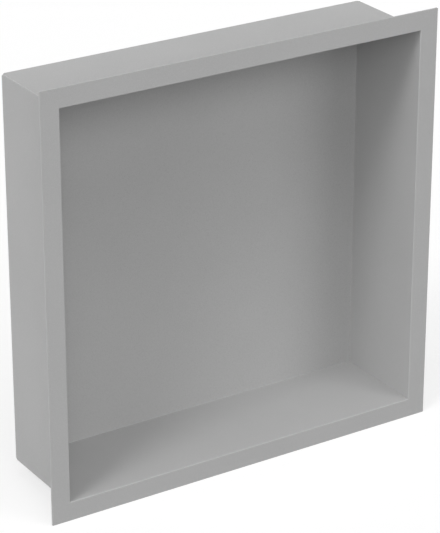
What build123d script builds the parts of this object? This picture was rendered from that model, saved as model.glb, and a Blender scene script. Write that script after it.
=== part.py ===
from build123d import *
from math import sqrt
import os

# Shower niche insert, in millimetres: one steel sheet, grooved along its fold lines so that it folds
# with crisp edges into a square recess with a flange round its mouth, then welded along the corner
# seams, ground and coated.
# The flange's rear face, which lies against the tiles, is the plane Y = 0, centred on the origin.
# The recess runs back along +Y, its mouth faces -Y, and +Z is up.

clear_width = 300.0  # between the side walls, inside
clear_height = 300.0  # from the shelf up to the top wall, inside
overall_depth = 80.0  # front of the flange to the rear of the back panel
flange_reach = 15.0  # from the clear opening out to the flange's edge
sheet = 1.2  # thickness of the coated sheet
fold_edge = 0.6  # radius outside a fold, and of the ground seams
fold_root = 0.4  # radius inside a fold, where the coat gathers
corner_grind = 1.25  # how far the four rear corners are ground back from a sharp point
grind_radius = 7.0  # radius of the ground corners
flange_corner = 0.8  # ground radius on the flange's corners
edge_break = 0.25  # rounding along the flange's cut edges

flange_front = -sheet
panel_rear = overall_depth - sheet
panel_front = panel_rear - sheet
box_width = clear_width + 2 * sheet
box_height = clear_height + 2 * sheet
flange_width = clear_width + 2 * flange_reach
flange_height = clear_height + 2 * flange_reach


def slab(outline, front, rear):
    """An outline drawn in the plane of the flange, carried straight back from y = front to y = rear."""
    drawing_plane = Plane.XZ.offset(-front)
    return extrude(drawing_plane * outline, amount=rear - front, dir=(0, 1, 0))


def rearmost(body):
    """The edges round the rearmost face."""
    return body.faces().sort_by(Axis.Y)[-1].edges()


def corner_waste():
    """What the grinder takes off the rear corners: a cube at each, less a ball that stays short of its point."""
    cube_side = (grind_radius + corner_grind) / sqrt(3)
    cube = Pos(Y=cube_side / 2) * Box(cube_side, cube_side, cube_side)
    waste = []
    for across in (-1, 1):
        for up in (-1, 1):
            ball_place = Pos(
                across * (box_width / 2 - cube_side), panel_rear - cube_side, up * (box_height / 2 - cube_side)
            )
            cube_place = ball_place * Pos(across * cube_side / 2, 0, up * cube_side / 2)
            waste.append(cube_place * cube - ball_place * Sphere(grind_radius))
    return waste


def folded_box():
    """The outside of the recess, with crisp folds and seams and with its rear corners ground."""
    box = slab(Rectangle(box_width, box_height), flange_front, panel_rear)
    seams = box.edges().filter_by(Axis.Y)
    return fillet(rearmost(box) + seams, radius=fold_edge) - corner_waste()


def clear_space():
    """The space inside: tight corners between the walls, and a fold all round the back panel."""
    space = slab(Rectangle(clear_width, clear_height), flange_front - sheet, panel_front)
    return fillet(rearmost(space), radius=fold_root)


def fold_mouth(body):
    """Rounds the fold between the walls and the flange, on its tile side and on its room side."""
    tile_side = body.faces().filter_by(Plane.XZ).sort_by(Axis.Y)[1]
    body = fillet(tile_side.inner_wires()[0].edges(), radius=fold_root)
    room_side = body.faces().sort_by(Axis.Y)[0]
    return fillet(room_side.inner_wires()[0].edges(), radius=fold_edge)


def break_rim(body):
    """Takes the sharpness off the flange's cut edges, front and rear."""
    across = body.faces().filter_by(Plane.XZ).sort_by(Axis.Y)
    room_side, tile_side = across[0], across[1]
    rim = room_side.outer_wire().edges() + tile_side.outer_wire().edges()
    return fillet(rim, radius=edge_break)


flange = slab(RectangleRounded(flange_width, flange_height, flange_corner), flange_front, 0)
niche_body = break_rim(fold_mouth(folded_box() + flange - clear_space()))

os.makedirs("parts", exist_ok=True)
export_step(niche_body, "parts/niche_body.step")
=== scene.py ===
# %% [markdown]
# # A shower niche in grey coated steel
#
# The niche is one steel sheet. It is grooved along its fold lines, so that four walls fold up crisply
# from the back panel and a flange folds out round the mouth. The corners are welded and ground flush, and
# the whole is coated in matte grey. That shape has real sizes, so it was made in CAD and it arrives here
# finished. Blender's work is what the CAD can't hold: the skin of the coat, the floor, the light and the
# camera. The first cell brings the CAD in as a fixed frame and keeps its box, so that the last cell can
# show that nothing outgrew it.

import math

import bpy
import numpy as np
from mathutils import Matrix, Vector


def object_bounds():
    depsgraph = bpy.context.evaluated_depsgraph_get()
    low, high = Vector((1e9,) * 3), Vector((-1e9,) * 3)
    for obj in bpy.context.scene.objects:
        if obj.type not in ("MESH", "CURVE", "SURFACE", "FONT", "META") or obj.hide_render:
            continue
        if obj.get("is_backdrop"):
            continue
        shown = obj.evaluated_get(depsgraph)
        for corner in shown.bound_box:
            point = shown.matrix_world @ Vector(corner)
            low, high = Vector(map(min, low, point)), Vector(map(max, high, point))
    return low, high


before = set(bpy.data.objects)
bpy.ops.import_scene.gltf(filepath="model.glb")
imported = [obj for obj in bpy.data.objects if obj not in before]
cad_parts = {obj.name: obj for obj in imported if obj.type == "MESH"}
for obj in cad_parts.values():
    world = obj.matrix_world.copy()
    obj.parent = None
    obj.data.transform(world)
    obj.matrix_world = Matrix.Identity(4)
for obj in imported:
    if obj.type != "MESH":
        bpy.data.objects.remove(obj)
cad_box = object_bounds()
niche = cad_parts["niche_body"]
cad_low, cad_high = (np.array(corner) for corner in cad_box)
print("niche, width depth height in mm:", np.round((cad_high - cad_low) * 1000, 1))
print("triangles:", len(niche.data.polygons), "smooth folds:", niche.data.has_custom_normals)

# %% [markdown]
# ## Noise in millimetres
#
# A coat has marks of several sizes, and each is easiest to judge in millimetres. Blender's noise has a
# scale instead, which is how many lumps fit in one metre. The helper below turns a lump's size into that
# scale. It reads Object coordinates, which are the frame's own metres, so the marks stay on the steel
# from every side and keep their size if the part is looked at from closer by.

# %% Helpers for the coat's nodes
MM = 0.001

coat = bpy.data.materials.new("matte_grey_coat")
coat.use_nodes = True
nodes = coat.node_tree.nodes
wire = coat.node_tree.links.new
shader = nodes["Principled BSDF"]
place = nodes.new("ShaderNodeTexCoord").outputs["Object"]


def lumps(label, across, detail=2.0):
    """Soft lumps about `across` metres wide: noise with 1/across lumps to a metre, around 0.5."""
    noise = nodes.new("ShaderNodeTexNoise")
    noise.label = label
    noise.inputs["Scale"].default_value = 1 / across
    noise.inputs["Detail"].default_value = detail
    wire(place, noise.inputs["Vector"])
    return noise.outputs["Fac"]


def spread(value, low, high, to_low=0.0, to_high=1.0, curve="LINEAR"):
    """Stretches value so that low..high becomes to_low..to_high, and holds it there outside."""
    stretch = nodes.new("ShaderNodeMapRange")
    stretch.interpolation_type = curve
    wire(value, stretch.inputs["Value"])
    stretch.inputs["From Min"].default_value = low
    stretch.inputs["From Max"].default_value = high
    stretch.inputs["To Min"].default_value = to_low
    stretch.inputs["To Max"].default_value = to_high
    return stretch.outputs["Result"]


def reckon(operation, first, second=None):
    """One sum on the node tree: first and second are sockets or plain numbers."""
    node = nodes.new("ShaderNodeMath")
    node.operation = operation
    for socket, value in zip(node.inputs, (first, second)):
        if isinstance(value, bpy.types.NodeSocket):
            wire(value, socket)
        elif value is not None:
            socket.default_value = value
    return node.outputs["Value"]


print("noise scale for lumps of 2 mm:", 1 / (2 * MM))

# %% [markdown]
# ## Where the coat is rubbed
#
# A niche is wiped often, and a cloth bears on what stands proud: the fold round the mouth and the cut rim
# of the flange. The coat is a little smoother and paler there. The two places are square rings, so they
# can be found from the coordinates alone: the larger of |x| and |z| is the distance from the axis of a
# square, just as a radius is for a circle. A painted mask or a bevel node could mark them as well, but
# this needs no UV map and follows the sizes of the part.

# %% Rubbed edges
FLANGE_REACH = 15 * MM
FOLD_RADIUS = 0.6 * MM
FOLD_FADE = 1.2 * MM
RIM_FADE = 0.9 * MM

half_flange = float(cad_high[0])
half_mouth = half_flange - FLANGE_REACH
axes = nodes.new("ShaderNodeSeparateXYZ")
wire(place, axes.inputs["Vector"])
off_x = reckon("ABSOLUTE", axes.outputs["X"])
off_z = reckon("ABSOLUTE", axes.outputs["Z"])
square_radius = reckon("MAXIMUM", off_x, off_z)
rim = spread(square_radius, half_flange - RIM_FADE, half_flange, curve="SMOOTHSTEP")
from_fold = reckon("ABSOLUTE", reckon("SUBTRACT", square_radius, half_mouth + FOLD_RADIUS / 2))
on_fold = spread(from_fold, FOLD_RADIUS / 2, FOLD_FADE, 1.0, 0.0, curve="SMOOTHSTEP")
in_front = spread(axes.outputs["Y"], -FOLD_RADIUS, FOLD_RADIUS, 1.0, 0.0, curve="SMOOTHSTEP")
proud = reckon("MAXIMUM", rim, reckon("MULTIPLY", on_fold, in_front))
uneven = spread(lumps("uneven rubbing", 24 * MM), 0.35, 0.65, 0.45, 1.0)
rubbed = reckon("MULTIPLY", proud, uneven)
print("rubbed rings at", round(half_mouth / MM, 1), "and", round(half_flange / MM, 1), "mm from the axis")

# %% [markdown]
# ## The grey
#
# The coat is a neutral mid grey. Sprayed powder doesn't land evenly, so the grey drifts by a percent or
# two over a hand's width, and each grain of pigment is a touch lighter or darker than the next. One flat
# colour would look like plastic. The drift and the grains are mixed over the grey in turn, and the rubbed
# edges last.

# %% Colour of the coat
GREY = 0.38
DRIFT = 0.02
GRAIN = 0.08
GRAIN_CUT = (0.52, 0.70)
RUBBED_PALER = 0.03


def tint(under, share, times):
    """The colour under, moved by share (0 to 1) towards the coat's grey times a factor."""
    mix = nodes.new("ShaderNodeMix")
    mix.data_type = "RGBA"
    wire(share, mix.inputs["Factor"])
    if isinstance(under, bpy.types.NodeSocket):
        wire(under, mix.inputs["A"])
    else:
        mix.inputs["A"].default_value = (under, under, under, 1)
    mix.inputs["B"].default_value = (GREY * times, GREY * times, GREY * times, 1)
    return mix.outputs["Result"]


drift = spread(lumps("drift of the spray", 60 * MM, 3.0), 0.3, 0.7)
colour = tint(GREY * (1 - DRIFT), drift, 1 + DRIFT)
pale_grains = spread(lumps("pale grains", 0.5 * MM, 1.0), *GRAIN_CUT)
colour = tint(colour, pale_grains, 1 + GRAIN)
dark_grains = spread(lumps("dark grains", 0.6 * MM, 1.0), *GRAIN_CUT)
colour = tint(colour, dark_grains, 1 - GRAIN)
colour = tint(colour, reckon("MULTIPLY", rubbed, 0.5), 1 + RUBBED_PALER)
wire(colour, shader.inputs["Base Color"])
print("grey from", round(GREY * (1 - GRAIN), 3), "to", round(GREY * (1 + GRAIN), 3))

# %% [markdown]
# ## The skin
#
# Three kinds of unevenness lie over each other. The sheet itself waves by a tenth of a millimetre over a
# hand's width, as folded sheet does. The molten powder draws together into shallow lumps two millimetres
# across, called orange peel. Unmelted grains leave a fine tooth on top. None of them changes the outline,
# so a bump is enough and real displacement would only add faces. Each bump's distance is the true height.

# %% Bump of the coat


def raised(label, across, height, under=None, detail=2.0):
    """Tilts the normals as if lumps of that width and height, in metres, stood on the surface under."""
    bump = nodes.new("ShaderNodeBump")
    bump.label = label
    bump.inputs["Strength"].default_value = 1.0
    bump.inputs["Distance"].default_value = height
    wire(lumps(label, across, detail), bump.inputs["Height"])
    if under is not None:
        wire(under, bump.inputs["Normal"])
    return bump.outputs["Normal"]


skin = raised("waves of the sheet", 130 * MM, 0.25 * MM, detail=0.0)
skin = raised("orange peel", 2.2 * MM, 0.04 * MM, skin, 1.0)
skin = raised("tooth of the grains", 0.5 * MM, 0.012 * MM, skin, 1.0)
wire(skin, shader.inputs["Normal"])
print("bumps:", [n.label for n in nodes if n.type == "BUMP"])

# %% [markdown]
# ## The sheen
#
# A matte coat scatters the light widely: a bright lamp leaves only a pale veil and no highlight. The
# roughness follows the same causes as the colour, so where the spray lay thicker the coat levelled out
# and shines a little more, and the rubbed edges shine most. What is the same all over, the strength of
# the reflection, is set on the shader itself.

# %% Roughness of the coat
ROUGH_THIN, ROUGH_THICK = 0.66, 0.60
ROUGH_GRAIN = 0.03
RUBBED_SMOOTHER = 0.12

by_spray = spread(drift, 0.0, 1.0, ROUGH_THIN, ROUGH_THICK)
by_grain = spread(lumps("sheen of the grains", 1.1 * MM), 0.3, 0.7, -ROUGH_GRAIN, ROUGH_GRAIN)
by_rubbing = reckon("MULTIPLY", rubbed, -RUBBED_SMOOTHER)
rough = reckon("ADD", reckon("ADD", by_spray, by_grain), by_rubbing)
wire(rough, shader.inputs["Roughness"])
shader.inputs["Specular IOR Level"].default_value = 0.3
shader.inputs["Metallic"].default_value = 0.0
niche.material_slots[0].material = coat
print("coated:", niche.name, "with", niche.material_slots[0].material.name, "of", len(nodes), "nodes")

# %% [markdown]
# ## The floor
#
# The niche stands on the lower edge of its flange, on a plain pale floor that runs out of sight on all
# sides. The photograph's background is white, and a white floor could be had by turning the lamps up, but
# that would bleach the niche too. So the floor is a dim matte sheet that glows for the camera and for
# reflections only: the glow makes up what the lamps leave short of white, and the shadow still shows. The
# sheet is a grid, a function of two parameters that are its x and y.

# %% Floor
FLOOR_HALF_SIDE = 20.0
FLOOR_STEPS = 9


def flat_grid(name, half_side, height, steps):
    """A level square: point (i, j) lies at x = -half_side + i step, y = -half_side + j step, z = height."""
    along = np.linspace(-half_side, half_side, steps)
    x, y = np.meshgrid(along, along)
    points = np.column_stack([x.ravel(), y.ravel(), np.full(x.size, height)])
    row, column = np.meshgrid(np.arange(steps - 1), np.arange(steps - 1), indexing="ij")
    first = (row * steps + column).ravel()
    quads = np.column_stack([first, first + 1, first + steps + 1, first + steps])
    mesh = bpy.data.meshes.new(name)
    mesh.from_pydata(points.tolist(), [], quads.tolist())
    sheet = bpy.data.objects.new(name, mesh)
    bpy.context.scene.collection.objects.link(sheet)
    return sheet


floor_level = float(cad_low[2])
floor = flat_grid("floor", FLOOR_HALF_SIDE, floor_level, FLOOR_STEPS)
floor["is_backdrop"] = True
print("floor at z =", round(floor_level, 4), "facing up:", floor.data.polygons[0].normal.z > 0)

# %% [markdown]
# The floor's glow and the white of the world both follow the same rule, so one helper makes it: it is 1
# for rays that come from the camera, a mirror or a glass, and 0 for the rays that carry light to the
# niche.

# %% Glow of the floor
FLOOR_GREY = 0.30
FLOOR_GLOW = 0.678


def seen_rays(tree):
    """1 for camera, glossy and transmission rays, 0 for the rest: the largest of the three flags."""
    path = tree.nodes.new("ShaderNodeLightPath")
    either = path.outputs["Is Camera Ray"]
    for flag in ("Is Glossy Ray", "Is Transmission Ray"):
        larger = tree.nodes.new("ShaderNodeMath")
        larger.operation = "MAXIMUM"
        tree.links.new(either, larger.inputs[0])
        tree.links.new(path.outputs[flag], larger.inputs[1])
        either = larger.outputs["Value"]
    return either


pale = bpy.data.materials.new("pale_floor")
pale.use_nodes = True
floor_shader = pale.node_tree.nodes["Principled BSDF"]
floor_shader.inputs["Base Color"].default_value = (FLOOR_GREY, FLOOR_GREY, FLOOR_GREY, 1)
floor_shader.inputs["Roughness"].default_value = 1.0
floor_shader.inputs["Specular IOR Level"].default_value = 0.0
floor_shader.inputs["Emission Color"].default_value = (1, 1, 1, 1)
glow = pale.node_tree.nodes.new("ShaderNodeMath")
glow.operation = "MULTIPLY"
glow.inputs[1].default_value = FLOOR_GLOW
pale.node_tree.links.new(seen_rays(pale.node_tree), glow.inputs[0])
pale.node_tree.links.new(glow.outputs["Value"], floor_shader.inputs["Emission Strength"])
floor.data.materials.append(pale)
print("floor: grey", FLOOR_GREY, "glow", FLOOR_GLOW)

# %% [markdown]
# ## The room's light
#
# In the photograph no part of the niche is black, not even the corner under the top wall, so a little of
# the light comes evenly from all round. That is the world: a weak grey for the light it gives, and plain
# white where it is seen.

# %% World
AROUND = 0.04

world = bpy.data.worlds.new("even_room")
bpy.context.scene.world = world
world.use_nodes = True
tree = world.node_tree
room = tree.nodes["Background"]
room.inputs["Color"].default_value = (1, 1, 1, 1)
room_level = tree.nodes.new("ShaderNodeMapRange")
room_level.inputs["To Min"].default_value = AROUND
room_level.inputs["To Max"].default_value = 1.0
tree.links.new(seen_rays(tree), room_level.inputs["Value"])
tree.links.new(room_level.outputs["Result"], room.inputs["Strength"])
print("world: gives", AROUND, "and is seen as 1")

# %% [markdown]
# ## The lamps
#
# The shadows in the recess tell where the light that draws them hung. On the shelf, the left wall's
# shadow moves over by 2.3 mm for each millimetre of depth, and on the right wall, the top wall's shadow
# drops by nearly 3 mm. Those two slopes follow from its direction: 66 degrees to the left and 50 up. The
# shadows' edges are as soft as from a lamp 16 degrees wide. The outside left wall is bright, the shadows
# are far from black, and the back panel is nearly as bright as the flange, so wider lights stood to the
# left, above and before the mouth. Sun lamps do this without the fall-off that a lamp close by would
# leave across the panel. A sun of strength pi lights a face square to it as brightly as its colour is
# written, so the strengths are given as shares of pi. The last two stand low, to the right and behind,
# and light the sides that this camera doesn't see.

# %% Lamps
LAMPS = (
    # name, azimuth, elevation, share of pi, width in degrees
    ("upper_left", -66, 50, 0.29, 16),
    ("left", -82, 15, 0.60, 45),
    ("above", 3, 72, 0.36, 40),
    ("front_left", -20, 23, 0.28, 32),
    ("front_right", 28, 23, 0.28, 32),
    ("right", 100, 6, 0.40, 20),
    ("rear", 180, 6, 0.45, 20),
)


def direction(azimuth, elevation):
    """The unit vector at azimuth (0 in front, negative to the left) and elevation, both in degrees."""
    turn, rise = math.radians(azimuth), math.radians(elevation)
    return Vector((math.sin(turn) * math.cos(rise), -math.cos(turn) * math.cos(rise), math.sin(rise)))


def soft_sun(name, azimuth, elevation, share, width):
    """Hangs a sun of strength share times pi. Its light on the level floor is share times its upward part."""
    towards = direction(azimuth, elevation)
    lamp = bpy.data.lights.new(name, "SUN")
    lamp.energy = share * math.pi
    lamp.angle = math.radians(width)
    holder = bpy.data.objects.new(name, lamp)
    holder.rotation_euler = towards.to_track_quat("Z", "Y").to_euler()
    bpy.context.scene.collection.objects.link(holder)
    return share * towards.z


on_floor = AROUND + sum(soft_sun(*row) for row in LAMPS)
seen_floor = FLOOR_GLOW + FLOOR_GREY * on_floor
print("light on the floor:", round(on_floor, 3), "seen as", round(seen_floor, 3))

# %% [markdown]
# ## The camera
#
# The camera was found from the corners of the flange, the mouth and the rear edge in the photograph: it
# stands to the left and above, nearly two metres away, with a long lens, which is why the walls hardly
# run together. It has no shift, so other views keep the niche in the middle.

# %% Camera
AIM = Vector((-0.0230, -0.0012, 0.0043))
AZIMUTH, ELEVATION, DISTANCE = -32.573, 24.089, 1.7753
SENSOR, LENS = 36.0, 167.57

away = direction(AZIMUTH, ELEVATION)
camera = bpy.data.objects.new("camera", bpy.data.cameras.new("camera"))
camera.location = AIM + away * DISTANCE
camera.rotation_euler = away.to_track_quat("Z", "Y").to_euler()
camera.data.sensor_width = SENSOR
camera.data.lens = LENS
bpy.context.scene.collection.objects.link(camera)
bpy.context.scene.camera = camera
bpy.context.scene.view_settings.view_transform = "Standard"
print("camera at", [round(v, 4) for v in camera.location])

# %% [markdown]
# ## The size, once more
#
# Only the material is new, so the dressed niche has to fill the CAD box exactly. The two boxes are compared
# at the end.

# %% Size and finish
boxes = {"cad": cad_box, "visual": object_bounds()}
boxes = {name: [[float(v) for v in corner] for corner in box] for name, box in boxes.items()}
print("same box:", np.allclose(boxes["cad"], boxes["visual"]))
